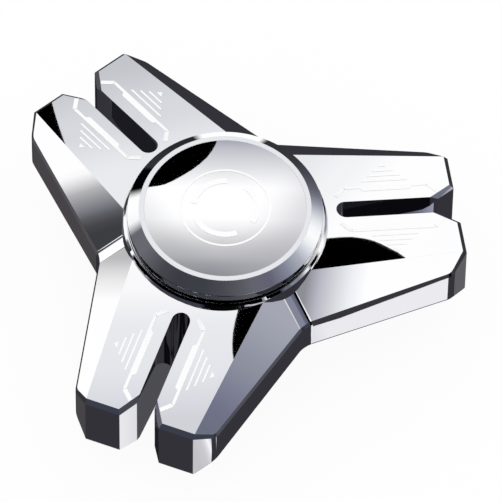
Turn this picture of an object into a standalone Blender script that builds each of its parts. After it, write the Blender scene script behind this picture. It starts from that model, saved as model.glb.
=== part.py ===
"""Fidget spinner: a faceted three-arm body that turns on a miniature ball bearing between two finger caps.

Metres, +Z up.  The origin is the centre of the lower cap's face, on which the spinner stands, and +Z is the
spin axis.  The first arm points along +X.  Every piece is laid out about the middle plane of the body, and the
empties on the spin axis lift it by HALF_HEIGHT.  Upper and lower halves are mirror images.
"""
import math

import bmesh
import bpy
from mathutils import Matrix, Vector

MM = 0.001

# Overall
HALF_HEIGHT = 9.65 * MM
ARMS = 3
SEAT_GAP = 0.2 * MM
RUN_GAP = 0.1 * MM

# Arms, seen from above: u runs out along the arm, v across it
TIP_U = 27.4 * MM
TIP_HALF_WIDTH = 6.64 * MM
SHOULDER_U = 25.4 * MM
SHOULDER_V = 8.7 * MM
SHOULDER_ROUND = 1.8 * MM
WEB_RADIUS = 14.8 * MM
WEB_ROUND_OFFSET = 0.95 * MM
SLOT_HALF_WIDTH = 1.09 * MM
SLOT_INNER_U = 13.1 * MM
SLOT_MOUTH_U = 25.3 * MM
SLOT_MOUTH_V = 2.41 * MM

# Arms, seen from the side
TIP_HALF_THICKNESS = 4.23 * MM
TOP_SLOPE = 0.131
ROOF_HALF_HEIGHT = 6.8 * MM
WALL_HALF_HEIGHT_SHOULDER = 2.6 * MM
WALL_HALF_HEIGHT_WEB = 2.27 * MM
FACET_TOP_U = 12.0 * MM
FACET_TOP_V = 7.84 * MM
TIP_CHAMFER = 0.48 * MM
WALL_CHAMFER = 0.3 * MM

# Boss round the bearing
BOSS_RADIUS = 11.96 * MM
BOSS_HALF_HEIGHT = 7.05 * MM
BOSS_CHAMFER = 0.25 * MM
COUNTERBORE_RADIUS = 8.0 * MM
BEARING_LIP_RADIUS = 5.6 * MM
BEARING_LIP_THICKNESS = 1.0 * MM

# Ball bearing, 1/4 in bore by 1/2 in outside by 3/16 in wide, with ten 1/16 in balls
BEARING_BORE_RADIUS = 3.175 * MM
BEARING_OUTER_RADIUS = 6.35 * MM
BEARING_HALF_WIDTH = 2.381 * MM
PITCH_RADIUS = 4.7625 * MM
BALL_RADIUS = 0.79375 * MM
BALL_COUNT = 10
INNER_SHOULDER_RADIUS = 4.2 * MM
OUTER_SHOULDER_RADIUS = 5.25 * MM
SHIELD_STEP_RADIUS = 5.85 * MM
SHIELD_STEP_Z = 1.6 * MM
SHIELD_THICKNESS = 0.2 * MM
SNAP_RING_THICKNESS = 0.25 * MM
SNAP_RING_INNER_RADIUS = 5.3 * MM
SNAP_RING_GAP_ANGLE = math.radians(26)
RING_CHAMFER = 0.25 * MM
CAGE_BOTTOM = -1.35 * MM
CAGE_TOP = 0.45 * MM

# Lock ring over the bearing
LOCK_RING_THICKNESS = 1.2 * MM
LOCK_RING_NOTCHES = 4
LOCK_RING_NOTCH_WIDTH = 1.6 * MM
LOCK_RING_NOTCH_REACH = 6.7 * MM

# Finger caps and what joins them
CAP_RADIUS = 11.4 * MM
CAP_UNDERSIDE_Z = 7.35 * MM
CAP_SIDE_TOP_Z = 8.45 * MM
CAP_RIM_OUTER_RADIUS = 10.0 * MM
CAP_RIM_TOP_Z = 9.63 * MM
CAP_RIM_WIDTH = 0.6 * MM
CAP_EDGE_ROUND = 0.35 * MM
CAP_FLOOR_Z = 8.75 * MM
CAP_HUB_RADIUS = 4.0 * MM
CAP_SPIGOT_RADIUS = 3.0 * MM
CAP_SPIGOT_END_Z = 0.15 * MM
CAP_SCREW_HOLE_TOP_Z = 6.5 * MM
DISC_EDGE_Z = 9.56 * MM
DISC_FLAT_RADIUS = 4.5 * MM
DISC_EDGE_CHAMFER = 0.12 * MM
WASHER_THICKNESS = 0.4 * MM
WASHER_OUTER_RADIUS = 4.1 * MM
STUD_RADIUS = 2.0 * MM
STUD_HALF_LENGTH = 6.0 * MM
STUD_CHAMFER = 0.4 * MM
STUD_SOCKET_ACROSS_FLATS = 2.0 * MM
STUD_SOCKET_DEPTH = 1.8 * MM

# Facets round each turned piece
LARGE_SEGMENTS = 60
SMALL_SEGMENTS = 40
CAGE_SEGMENTS = 50
BALL_SEGMENTS = 10
BALL_RINGS = 6


# ---------------------------------------------------------------- scene and materials

def clear_scene():
    """Remove every object that the file opened with."""
    for obj in list(bpy.data.objects):
        bpy.data.objects.remove(obj, do_unlink=True)


def metal(name, colour, roughness, metallic=1.0):
    """Make a Principled material of one colour."""
    mat = bpy.data.materials.new(name)
    mat.use_nodes = True
    shader = mat.node_tree.nodes["Principled BSDF"]
    shader.inputs["Base Color"].default_value = (*colour, 1.0)
    shader.inputs["Metallic"].default_value = metallic
    shader.inputs["Roughness"].default_value = roughness
    return mat


def add_empty(name, height=0.0, parent=None):
    """Place an empty on the spin axis, which carries the pieces that move together."""
    empty = bpy.data.objects.new(name, None)
    empty.empty_display_size = 5 * MM
    empty.location = (0, 0, height)
    empty.parent = parent
    bpy.context.collection.objects.link(empty)
    return empty


def add_object(name, bm, mat, parent, location=(0, 0, 0), sharp=math.radians(30)):
    """Turn a bmesh into a smooth-shaded object of its own material."""
    bmesh.ops.recalc_face_normals(bm, faces=bm.faces)
    mesh = bpy.data.meshes.new(name)
    bm.to_mesh(mesh)
    bm.free()
    mesh.shade_smooth()
    mesh.set_sharp_from_angle(angle=sharp)
    mesh.materials.append(mat)
    return add_mesh_object(name, mesh, parent, location)


def add_mesh_object(name, mesh, parent, location=(0, 0, 0)):
    """Place a mesh, which may be shared, as a named object."""
    obj = bpy.data.objects.new(name, mesh)
    obj.location = location
    obj.parent = parent
    bpy.context.collection.objects.link(obj)
    return obj


def as_helper(obj):
    """Mark a solid that only shapes another piece."""
    obj.hide_render = True
    obj.display_type = "WIRE"
    return obj


def boolean(obj, tool, operation):
    """Join or cut an object with a helper solid."""
    modifier = obj.modifiers.new(f"{operation.lower()} {tool.name}", "BOOLEAN")
    modifier.operation = operation
    modifier.solver = "EXACT"
    modifier.object = tool
    return modifier


# ---------------------------------------------------------------- turned pieces

def arc(centre, radius, start, end, steps):
    """Points on an arc, both ends included; angles in degrees."""
    points = []
    for i in range(steps + 1):
        angle = math.radians(start + (end - start) * i / steps)
        points.append((centre[0] + radius * math.cos(angle), centre[1] + radius * math.sin(angle)))
    return points


def turned(profile, segments, closed=True):
    """Turn a profile of (radius, height) points about the Z axis.

    A closed profile gives a ring.  An open one starts and ends on the axis.
    """
    bm = bmesh.new()
    verts = [bm.verts.new((radius, 0, height)) for radius, height in profile]
    pairs = list(zip(verts, verts[1:]))
    if closed:
        pairs.append((verts[-1], verts[0]))
    edges = [bm.edges.new(pair) for pair in pairs]
    bmesh.ops.spin(
        bm, geom=verts + edges, cent=(0, 0, 0), axis=(0, 0, 1), angle=math.tau, steps=segments, use_merge=True
    )
    bmesh.ops.remove_doubles(bm, verts=bm.verts, dist=0.001 * MM)
    return bm


def flipped(profile):
    """The same profile below the middle plane."""
    return [(radius, -height) for radius, height in reversed(profile)]


# ---------------------------------------------------------------- body

def rounded_corner(before, corner, after, radius, steps):
    """Replace an outline's corner by an arc that touches both of its sides."""
    corner = Vector(corner)
    to_before = (Vector(before) - corner).normalized()
    to_after = (Vector(after) - corner).normalized()
    half = to_before.angle(to_after) / 2
    centre = corner + (to_before + to_after).normalized() * (radius / math.sin(half))
    start = corner + to_before * (radius / math.tan(half)) - centre
    end = corner + to_after * (radius / math.tan(half)) - centre
    sweep = start.angle_signed(end)
    return [tuple(centre + Matrix.Rotation(-sweep * i / steps, 2) @ start) for i in range(steps + 1)]


def half_arm_outline():
    """Outline of half an arm: hub centre, slot, tip, shoulder and the web to the next arm."""
    shoulder = (SHOULDER_U, SHOULDER_V)
    tip_corner = (TIP_U, TIP_HALF_WIDTH)
    web = (WEB_RADIUS * math.cos(math.radians(60)), WEB_RADIUS * math.sin(math.radians(60)))
    slot_end = arc((SLOT_INNER_U + SLOT_HALF_WIDTH, 0), SLOT_HALF_WIDTH, 180, 90, 5)
    outline = [(0, 0)]
    outline += slot_end
    outline += [(SLOT_MOUTH_U, SLOT_HALF_WIDTH), (TIP_U, SLOT_MOUTH_V), tip_corner]
    outline += rounded_corner(tip_corner, shoulder, web, SHOULDER_ROUND, 4)
    outline.append(web)
    return outline


def cut_above(bm, point, normal):
    """Cut a solid by a plane, drop what lies beyond it and close the cut."""
    geometry = bm.verts[:] + bm.edges[:] + bm.faces[:]
    result = bmesh.ops.bisect_plane(
        bm, geom=geometry, dist=0.0001 * MM, plane_co=point, plane_no=normal, clear_outer=True
    )
    cut_edges = [item for item in result["geom_cut"] if isinstance(item, bmesh.types.BMEdge)]
    bmesh.ops.contextual_create(bm, geom=cut_edges)
    bmesh.ops.recalc_face_normals(bm, faces=bm.faces)


def top_plane():
    """The sloping upper face of an arm: a point on it and its normal."""
    return Vector((TIP_U, 0, TIP_HALF_THICKNESS)), Vector((TOP_SLOPE, 0, 1)).normalized()


def facet_plane():
    """The wide slanting facet between an arm's upper face and its side wall."""
    shoulder = Vector((SHOULDER_U, SHOULDER_V, WALL_HALF_HEIGHT_SHOULDER))
    angle = math.radians(60)
    web = Vector((WEB_RADIUS * math.cos(angle), WEB_RADIUS * math.sin(angle), WALL_HALF_HEIGHT_WEB))
    ridge = Vector((FACET_TOP_U, FACET_TOP_V, TIP_HALF_THICKNESS + TOP_SLOPE * (TIP_U - FACET_TOP_U)))
    normal = (web - shoulder).cross(ridge - shoulder).normalized()
    if normal.z < 0:
        normal.negate()
    return shoulder, normal


def meets(edge, first, second):
    """Whether an edge joins two faces with the given normals, in either order."""
    if len(edge.link_faces) != 2:
        return False
    a, b = (face.normal for face in edge.link_faces)
    limit = 0.9995
    return (a.dot(first) > limit and b.dot(second) > limit) or (a.dot(second) > limit and b.dot(first) > limit)


def half_arm():
    """Upper half of half an arm, from its middle line to the web, as a closed wedge."""
    bm = bmesh.new()
    floor = bm.faces.new([bm.verts.new((u, v, 0)) for u, v in half_arm_outline()])
    raised = bmesh.ops.extrude_face_region(bm, geom=[floor])
    lifted = [item for item in raised["geom"] if isinstance(item, bmesh.types.BMVert)]
    bmesh.ops.translate(bm, verts=lifted, vec=(0, 0, 2 * ROOF_HALF_HEIGHT))
    bmesh.ops.recalc_face_normals(bm, faces=bm.faces)
    cut_above(bm, Vector((0, 0, ROOF_HALF_HEIGHT)), Vector((0, 0, 1)))
    cut_above(bm, *facet_plane())
    cut_above(bm, *top_plane())

    top_normal = top_plane()[1]
    end_normal = Vector((1, 0, 0))
    mouth_normal = Vector((SLOT_MOUTH_V - SLOT_HALF_WIDTH, SLOT_MOUTH_U - TIP_U, 0)).normalized()
    tip_edges = [e for e in bm.edges if meets(e, top_normal, end_normal) or meets(e, top_normal, mouth_normal)]
    bmesh.ops.bevel(bm, geom=tip_edges, offset=TIP_CHAMFER, offset_type="OFFSET", segments=1, affect="EDGES")
    return bm


def on_symmetry_plane(face):
    """Whether a face of the wedge lies on the middle plane, on the arm's middle line or on the web's line."""
    web_side = Vector((-math.sin(math.radians(60)), math.cos(math.radians(60)), 0))
    tolerance = 0.001 * MM
    flat = all(abs(vert.co.z) < tolerance for vert in face.verts)
    middle = all(abs(vert.co.y) < tolerance for vert in face.verts)
    web = all(abs(vert.co.dot(web_side)) < tolerance for vert in face.verts)
    return flat or middle or web


def mirrored_copy(bm, matrix):
    """Add a transformed copy of everything in the bmesh."""
    copies = bmesh.ops.duplicate(bm, geom=bm.verts[:] + bm.edges[:] + bm.faces[:])["geom"]
    verts = [item for item in copies if isinstance(item, bmesh.types.BMVert)]
    bmesh.ops.transform(bm, matrix=matrix, verts=verts)
    bmesh.ops.reverse_faces(bm, faces=[item for item in copies if isinstance(item, bmesh.types.BMFace)])


def folded(vector, position):
    """A direction as the first arm's upper half would see it at the given position."""
    angle = math.atan2(position.y, position.x)
    turn = round(angle / (math.tau / ARMS)) * (math.tau / ARMS)
    back = Matrix.Rotation(-turn, 3, "Z")
    placed = back @ Vector(position)
    direction = back @ Vector(vector)
    if placed.y < 0:
        direction.y = -direction.y
    if placed.z < 0:
        direction.z = -direction.z
    return direction


def is_web_edge(edge):
    """Whether an edge runs along the web's line: the valley between two arms' facets or the crease below it."""
    if len(edge.link_faces) != 2:
        return False
    middle = (edge.verts[0].co + edge.verts[1].co) / 2
    angle = math.degrees(math.atan2(middle.y, middle.x)) % (360 / ARMS)
    length = (edge.verts[0].co - edge.verts[1].co).length
    on_line = abs(angle - 60) < 0.2 and middle.xy.length > 5 * MM
    along = all(abs(math.degrees(math.atan2(v.co.y, v.co.x)) % (360 / ARMS) - 60) < 0.2 for v in edge.verts)
    bent = edge.calc_face_angle(0) > math.radians(4)
    return on_line and along and bent and length > 0.01 * MM


def is_wall_top_edge(edge):
    """Whether an edge parts an upright wall from the slanting facet above or below it."""
    if len(edge.link_faces) != 2:
        return False
    middle = (edge.verts[0].co + edge.verts[1].co) / 2
    normals = [folded(face.normal, face.calc_center_median()) for face in edge.link_faces]
    upright = [n for n in normals if abs(n.z) < 0.02]
    slanting = [n for n in normals if 0.5 < n.z < 0.9 and n.y > 0.3]
    return len(upright) == 1 and len(slanting) == 1 and abs(middle.z) > 1 * MM


def add_body(mat, parent):
    """The three-arm body: six mirrored half arms, a round boss, and a stepped bore for the bearing."""
    bm = half_arm()
    bmesh.ops.delete(bm, geom=[f for f in bm.faces if on_symmetry_plane(f)], context="FACES_ONLY")
    mirrored_copy(bm, Matrix.Scale(-1, 4, (0, 0, 1)))
    web_normal = Vector((-math.sin(math.radians(60)), math.cos(math.radians(60)), 0))
    mirrored_copy(bm, Matrix.Scale(-1, 4, web_normal))
    third = bmesh.ops.duplicate(bm, geom=bm.verts[:] + bm.edges[:] + bm.faces[:])["geom"]
    source = [item for item in third if isinstance(item, bmesh.types.BMVert)]
    bmesh.ops.rotate(bm, verts=source, cent=(0, 0, 0), matrix=Matrix.Rotation(math.tau / ARMS, 3, "Z"))
    first_two = bm.verts[:] + bm.edges[:] + bm.faces[:]
    copies = bmesh.ops.duplicate(bm, geom=[g for g in first_two if g not in set(third)])["geom"]
    last = [item for item in copies if isinstance(item, bmesh.types.BMVert)]
    bmesh.ops.rotate(bm, verts=last, cent=(0, 0, 0), matrix=Matrix.Rotation(-math.tau / ARMS, 3, "Z"))
    bmesh.ops.remove_doubles(bm, verts=bm.verts, dist=0.002 * MM)
    bmesh.ops.recalc_face_normals(bm, faces=bm.faces)

    web_edges = [e for e in bm.edges if is_web_edge(e)]
    bmesh.ops.bevel(
        bm, geom=web_edges, offset=WEB_ROUND_OFFSET, offset_type="OFFSET", segments=4, affect="EDGES", profile=0.5
    )
    bmesh.ops.recalc_face_normals(bm, faces=bm.faces)
    wall_edges = [e for e in bm.edges if is_wall_top_edge(e)]
    bmesh.ops.bevel(bm, geom=wall_edges, offset=WALL_CHAMFER, offset_type="OFFSET", segments=1, affect="EDGES")

    body = add_object("body", bm, mat, parent, sharp=math.radians(14))
    boolean(body, add_boss_solid(parent), "UNION")
    boolean(body, add_bore_cutter(parent), "DIFFERENCE")
    return body


def add_boss_solid(parent):
    """The round boss that stands out of the body above and below."""
    edge = BOSS_RADIUS - BOSS_CHAMFER
    upper = [(BOSS_RADIUS, BOSS_HALF_HEIGHT - BOSS_CHAMFER), (edge, BOSS_HALF_HEIGHT), (0, BOSS_HALF_HEIGHT)]
    bm = turned(flipped(upper) + upper, LARGE_SEGMENTS, closed=False)
    return as_helper(add_object("boss solid", bm, metal("helper", (0.5, 0.5, 0.5), 0.5), parent))


def add_bore_cutter(parent):
    """The stepped bore: a counterbore, the bearing's seat, a lip under the bearing and a second counterbore."""
    beyond = BOSS_HALF_HEIGHT + 2 * MM
    seat = BEARING_OUTER_RADIUS + SEAT_GAP
    seat_bottom = -BEARING_HALF_WIDTH - SEAT_GAP
    lip_bottom = seat_bottom - BEARING_LIP_THICKNESS
    profile = [
        (0, -beyond),
        (COUNTERBORE_RADIUS, -beyond),
        (COUNTERBORE_RADIUS, lip_bottom),
        (BEARING_LIP_RADIUS, lip_bottom),
        (BEARING_LIP_RADIUS, seat_bottom),
        (seat, seat_bottom),
        (seat, BEARING_HALF_WIDTH),
        (COUNTERBORE_RADIUS, BEARING_HALF_WIDTH),
        (COUNTERBORE_RADIUS, beyond),
        (0, beyond),
    ]
    bm = turned(profile, LARGE_SEGMENTS, closed=False)
    return as_helper(add_object("bore cutter", bm, bpy.data.materials["helper"], parent))


def add_lock_ring(mat, parent):
    """The threaded ring that holds the bearing down, with notches for a pin spanner."""
    outer = COUNTERBORE_RADIUS - SEAT_GAP
    bottom = BEARING_HALF_WIDTH + SEAT_GAP
    top = bottom + LOCK_RING_THICKNESS
    chamfer = 0.2 * MM
    profile = [
        (BEARING_LIP_RADIUS, bottom),
        (outer - chamfer, bottom),
        (outer, bottom + chamfer),
        (outer, top - chamfer),
        (outer - chamfer, top),
        (BEARING_LIP_RADIUS, top),
    ]
    ring = add_object("bearing_lock_ring", turned(profile, SMALL_SEGMENTS), mat, parent)
    cutter = bmesh.new()
    for i in range(LOCK_RING_NOTCHES):
        notch = bmesh.ops.create_cube(cutter, size=1.0)["verts"]
        size = Matrix.Diagonal((LOCK_RING_NOTCH_REACH, LOCK_RING_NOTCH_WIDTH, 3 * LOCK_RING_THICKNESS, 1))
        place = Matrix.Translation((LOCK_RING_NOTCH_REACH / 2, 0, (bottom + top) / 2))
        turn = Matrix.Rotation(math.tau * (i + 0.5) / LOCK_RING_NOTCHES, 4, "Z")
        bmesh.ops.transform(cutter, matrix=turn @ place @ size, verts=notch)
    for index, block in enumerate(separate_blocks(cutter)):
        helper = add_object(f"notch cutter {index + 1}", block, bpy.data.materials["helper"], parent)
        boolean(ring, as_helper(helper), "DIFFERENCE")
    return ring


def separate_blocks(bm):
    """Split a bmesh of loose blocks into one bmesh for each."""
    blocks = []
    bm.verts.ensure_lookup_table()
    for start in range(0, len(bm.verts), 8):
        block = bmesh.new()
        keep = {bm.verts[start + i] for i in range(8)}
        made = {vert: block.verts.new(vert.co) for vert in keep}
        for face in bm.faces:
            if set(face.verts) <= keep:
                block.faces.new([made[vert] for vert in face.verts])
        blocks.append(block)
    bm.free()
    return blocks


# ---------------------------------------------------------------- bearing

def race_angle(shoulder_radius):
    """Angle from the radial direction at which a race's groove meets its shoulder."""
    return math.degrees(math.acos(abs(shoulder_radius - PITCH_RADIUS) / (BALL_RADIUS + RUN_GAP)))


def add_outer_ring(mat, parent):
    """The bearing's outer ring: grooved race, shoulders, and a step at each side for its shield."""
    groove = race_angle(OUTER_SHOULDER_RADIUS)
    width = BEARING_HALF_WIDTH
    profile = [
        (BEARING_OUTER_RADIUS - RING_CHAMFER, width),
        (SHIELD_STEP_RADIUS, width),
        (SHIELD_STEP_RADIUS, SHIELD_STEP_Z),
        (OUTER_SHOULDER_RADIUS, SHIELD_STEP_Z),
    ]
    race = arc((PITCH_RADIUS, 0), BALL_RADIUS + RUN_GAP, groove, -groove, 6)
    lower = [(radius, -height) for radius, height in reversed(profile)]
    outside = [(BEARING_OUTER_RADIUS, -width + RING_CHAMFER), (BEARING_OUTER_RADIUS, width - RING_CHAMFER)]
    return add_object("bearing_outer_ring", turned(profile + race + lower + outside, SMALL_SEGMENTS), mat, parent)


def add_inner_ring(mat, parent):
    """The bearing's inner ring: plain bore and a grooved race."""
    groove = race_angle(INNER_SHOULDER_RADIUS)
    width = BEARING_HALF_WIDTH
    chamfer = RING_CHAMFER / 2
    race = arc((PITCH_RADIUS, 0), BALL_RADIUS + RUN_GAP, 180 + groove, 180 - groove, 6)
    profile = [(BEARING_BORE_RADIUS + chamfer, -width), (INNER_SHOULDER_RADIUS, -width)]
    profile += race
    profile += [(INNER_SHOULDER_RADIUS, width), (BEARING_BORE_RADIUS + chamfer, width)]
    profile += [(BEARING_BORE_RADIUS, width - chamfer), (BEARING_BORE_RADIUS, -width + chamfer)]
    return add_object("bearing_inner_ring", turned(profile, SMALL_SEGMENTS), mat, parent)


def ball_places():
    """Centres of the balls on their pitch circle."""
    places = []
    for i in range(BALL_COUNT):
        angle = math.tau * i / BALL_COUNT
        places.append(Vector((PITCH_RADIUS * math.cos(angle), PITCH_RADIUS * math.sin(angle), 0)))
    return places


def add_cage(mat, parent):
    """The crown cage: a ring with an open pocket for each ball, whose claws close over the ball."""
    inner = INNER_SHOULDER_RADIUS + 0.15 * MM
    outer = OUTER_SHOULDER_RADIUS - 0.15 * MM
    profile = [(inner, CAGE_BOTTOM), (outer, CAGE_BOTTOM), (outer, CAGE_TOP), (inner, CAGE_TOP)]
    cage = add_object("bearing_cage", turned(profile, CAGE_SEGMENTS), mat, parent)
    pocket = bmesh.new()
    bmesh.ops.create_cone(
        pocket, cap_ends=True, segments=16, radius1=BALL_RADIUS + RUN_GAP, radius2=BALL_RADIUS + RUN_GAP,
        depth=3 * MM
    )
    pocket_mesh = bpy.data.meshes.new("pocket cutter")
    pocket.to_mesh(pocket_mesh)
    pocket.free()
    for i, place in enumerate(ball_places()):
        cutter = add_mesh_object(f"pocket cutter {i + 1}", pocket_mesh, parent, place)
        cutter.rotation_euler = (0, math.radians(90), math.tau * i / BALL_COUNT)
        boolean(cage, as_helper(cutter), "DIFFERENCE")
    return cage


def add_balls(mat, parent):
    """Ten balls, each with its origin at its own centre."""
    bm = bmesh.new()
    bmesh.ops.create_uvsphere(bm, u_segments=BALL_SEGMENTS, v_segments=BALL_RINGS, radius=BALL_RADIUS)
    places = ball_places()
    first = add_object("bearing_ball_01", bm, mat, parent, places[0], sharp=math.radians(60))
    for i, place in enumerate(places[1:], start=2):
        add_mesh_object(f"bearing_ball_{i:02d}", first.data, parent, place)


def add_shield(name, mat, parent, side):
    """A thin pressed shield that closes the gap between the bearing's rings."""
    bottom = SHIELD_STEP_Z + RUN_GAP
    top = bottom + SHIELD_THICKNESS
    inner = INNER_SHOULDER_RADIUS + SEAT_GAP
    outer = SHIELD_STEP_RADIUS - 0.15 * MM
    profile = [(inner, bottom), (outer, bottom), (outer, top), (inner, top)]
    if side < 0:
        profile = flipped(profile)
    return add_object(name, turned(profile, SMALL_SEGMENTS), mat, parent)


def add_snap_ring(name, mat, parent, side):
    """The open ring of spring wire that keeps a shield in its step."""
    bottom = SHIELD_STEP_Z + 2 * RUN_GAP + SHIELD_THICKNESS
    top = bottom + SNAP_RING_THICKNESS
    outer = SHIELD_STEP_RADIUS - 0.15 * MM
    profile = [(SNAP_RING_INNER_RADIUS, bottom), (outer, bottom), (outer, top), (SNAP_RING_INNER_RADIUS, top)]
    if side < 0:
        profile = flipped(profile)
    bm = bmesh.new()
    start = bm.faces.new([bm.verts.new((radius, 0, height)) for radius, height in profile])
    bmesh.ops.rotate(
        bm, verts=bm.verts, cent=(0, 0, 0), matrix=Matrix.Rotation(SNAP_RING_GAP_ANGLE / 2, 3, "Z")
    )
    bmesh.ops.spin(
        bm, geom=[start], cent=(0, 0, 0), axis=(0, 0, 1), angle=math.tau - SNAP_RING_GAP_ANGLE,
        steps=SMALL_SEGMENTS - 4
    )
    close_ends(bm)
    return add_object(name, bm, mat, parent)


def close_ends(bm):
    """Close any open end that a swept section left."""
    rims = [edge for edge in bm.edges if edge.is_boundary]
    if rims:
        bmesh.ops.holes_fill(bm, edges=rims, sides=0)


# ---------------------------------------------------------------- caps and axle

def cap_profile():
    """Section of the upper cap's shell, from the mouth of its screw hole round the rim to its floor."""
    hole = STUD_RADIUS + SEAT_GAP
    shoulder_z = BEARING_HALF_WIDTH + 2 * SEAT_GAP + WASHER_THICKNESS
    round_r = CAP_EDGE_ROUND
    rim_inner = CAP_RIM_OUTER_RADIUS - CAP_RIM_WIDTH
    rim_middle = CAP_RIM_OUTER_RADIUS - CAP_RIM_WIDTH / 2
    rim_centre_z = CAP_RIM_TOP_Z - CAP_RIM_WIDTH / 2
    profile = [
        (0, CAP_SCREW_HOLE_TOP_Z),
        (hole, CAP_SCREW_HOLE_TOP_Z),
        (hole, CAP_SPIGOT_END_Z),
        (CAP_SPIGOT_RADIUS, CAP_SPIGOT_END_Z),
        (CAP_SPIGOT_RADIUS, shoulder_z),
        (CAP_HUB_RADIUS, shoulder_z),
        (CAP_HUB_RADIUS, CAP_UNDERSIDE_Z),
    ]
    profile += arc((CAP_RADIUS - round_r, CAP_UNDERSIDE_Z + round_r), round_r, -90, 0, 2)
    profile += arc((CAP_RADIUS - 0.15 * MM, CAP_SIDE_TOP_Z - 0.15 * MM), 0.15 * MM, 0, 50, 1)
    profile += arc((rim_middle, rim_centre_z), CAP_RIM_WIDTH / 2, 40, 180, 4)
    profile += [(rim_inner, CAP_FLOOR_Z), (0, CAP_FLOOR_Z)]
    return profile


def add_cap(name, mat, parent, side):
    """A finger cap: dished shell with a bevelled edge and a hub that reaches the bearing's inner ring."""
    profile = cap_profile()
    if side < 0:
        profile = flipped(profile)
    return add_object(name, turned(profile, LARGE_SEGMENTS, closed=False), mat, parent)


def add_cap_disc(name, mat, parent, side):
    """The polished disc let into a cap, flat in the middle and falling slightly to its edge."""
    radius = CAP_RIM_OUTER_RADIUS - CAP_RIM_WIDTH - 0.15 * MM
    bottom = CAP_FLOOR_Z + SEAT_GAP
    profile = [
        (0, bottom),
        (radius, bottom),
        (radius, DISC_EDGE_Z - DISC_EDGE_CHAMFER),
        (radius - DISC_EDGE_CHAMFER, DISC_EDGE_Z),
    ]
    for i in range(1, 4):
        part = i / 3
        span = radius - DISC_EDGE_CHAMFER - DISC_FLAT_RADIUS
        rise = (HALF_HEIGHT - DISC_EDGE_Z) * (1 - (1 - part) ** 2)
        profile.append((DISC_FLAT_RADIUS + span * (1 - part), DISC_EDGE_Z + rise))
    profile.append((0, HALF_HEIGHT))
    if side < 0:
        profile = flipped(profile)
    return add_object(name, turned(profile, LARGE_SEGMENTS, closed=False), mat, parent)


def add_washer(name, mat, parent, side):
    """The spacer washer between a cap's hub and the bearing's inner ring."""
    inner = CAP_SPIGOT_RADIUS + SEAT_GAP
    bottom = BEARING_HALF_WIDTH + SEAT_GAP
    top = bottom + WASHER_THICKNESS
    profile = [(inner, bottom), (WASHER_OUTER_RADIUS, bottom), (WASHER_OUTER_RADIUS, top), (inner, top)]
    if side < 0:
        profile = flipped(profile)
    return add_object(name, turned(profile, SMALL_SEGMENTS), mat, parent)


def add_stud(mat, parent):
    """The headless screw that draws the two caps together, with a hexagon socket in its upper end."""
    upper = [
        (STUD_RADIUS, STUD_HALF_LENGTH - STUD_CHAMFER),
        (STUD_RADIUS - STUD_CHAMFER, STUD_HALF_LENGTH),
        (0, STUD_HALF_LENGTH),
    ]
    stud = add_object("axle_stud", turned(flipped(upper) + upper, SMALL_SEGMENTS, closed=False), mat, parent)
    socket = bmesh.new()
    radius = STUD_SOCKET_ACROSS_FLATS / 2 / math.cos(math.radians(30))
    bmesh.ops.create_cone(
        socket, cap_ends=True, segments=6, radius1=radius, radius2=radius, depth=2 * STUD_SOCKET_DEPTH
    )
    cutter = add_object(
        "socket cutter", socket, bpy.data.materials["helper"], parent, (0, 0, STUD_HALF_LENGTH)
    )
    boolean(stud, as_helper(cutter), "DIFFERENCE")
    return stud


# ---------------------------------------------------------------- the whole spinner

def main():
    """Build every piece under the empty that carries it."""
    clear_scene()
    chrome = metal("polished chrome", (0.80, 0.80, 0.82), 0.05)
    mirror = metal("mirror disc", (0.86, 0.86, 0.88), 0.03)
    bearing_steel = metal("bearing steel", (0.62, 0.62, 0.64), 0.18)
    ball_steel = metal("ball steel", (0.75, 0.75, 0.77), 0.06)
    dark_steel = metal("dark steel", (0.16, 0.16, 0.17), 0.35)
    brass = metal("brass", (0.78, 0.58, 0.26), 0.25)

    caps = add_empty("caps_frame", HALF_HEIGHT)
    spin = add_empty("body_spin_axis", 0.0, caps)
    orbit = add_empty("cage_orbit_axis", 0.0, caps)

    add_body(chrome, spin)
    add_lock_ring(dark_steel, spin)
    add_outer_ring(bearing_steel, spin)
    add_cage(brass, orbit)
    add_balls(ball_steel, orbit)
    add_inner_ring(bearing_steel, caps)
    add_stud(dark_steel, caps)
    for side, word in ((1, "upper"), (-1, "lower")):
        add_shield(f"bearing_shield_{word}", bearing_steel, spin, side)
        add_snap_ring(f"bearing_snap_ring_{word}", dark_steel, spin, side)
        add_cap(f"cap_{word}", chrome, caps, side)
        add_cap_disc(f"cap_disc_{word}", mirror, caps, side)
        add_washer(f"spacer_washer_{word}", brass, caps, side)


if __name__ == "__main__":
    main()
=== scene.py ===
"""Looks of a three-arm fidget spinner: chrome skin, turned finger caps, etched marks, bearing finishes and studio."""
import logging
import math
from dataclasses import dataclass
from enum import Enum

import bmesh
import bpy
from mathutils import Matrix, Vector


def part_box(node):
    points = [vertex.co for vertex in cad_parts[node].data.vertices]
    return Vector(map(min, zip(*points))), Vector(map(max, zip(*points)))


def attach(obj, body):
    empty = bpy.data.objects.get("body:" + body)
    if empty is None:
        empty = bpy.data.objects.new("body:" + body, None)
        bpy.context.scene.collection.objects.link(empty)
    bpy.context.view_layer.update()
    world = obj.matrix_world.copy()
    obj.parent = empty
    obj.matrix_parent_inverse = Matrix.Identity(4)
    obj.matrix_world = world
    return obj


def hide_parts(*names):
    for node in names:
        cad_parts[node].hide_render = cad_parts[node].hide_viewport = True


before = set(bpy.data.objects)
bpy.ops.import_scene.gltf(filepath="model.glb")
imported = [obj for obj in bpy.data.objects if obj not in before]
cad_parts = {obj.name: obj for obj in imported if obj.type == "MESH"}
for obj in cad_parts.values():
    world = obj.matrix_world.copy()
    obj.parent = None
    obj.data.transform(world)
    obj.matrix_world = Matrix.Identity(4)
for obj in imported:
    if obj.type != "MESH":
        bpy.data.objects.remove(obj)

LOG = logging.getLogger("spinner")
MM = 0.001
ARMS = 3
CAPS_BODY = "caps"
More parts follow.
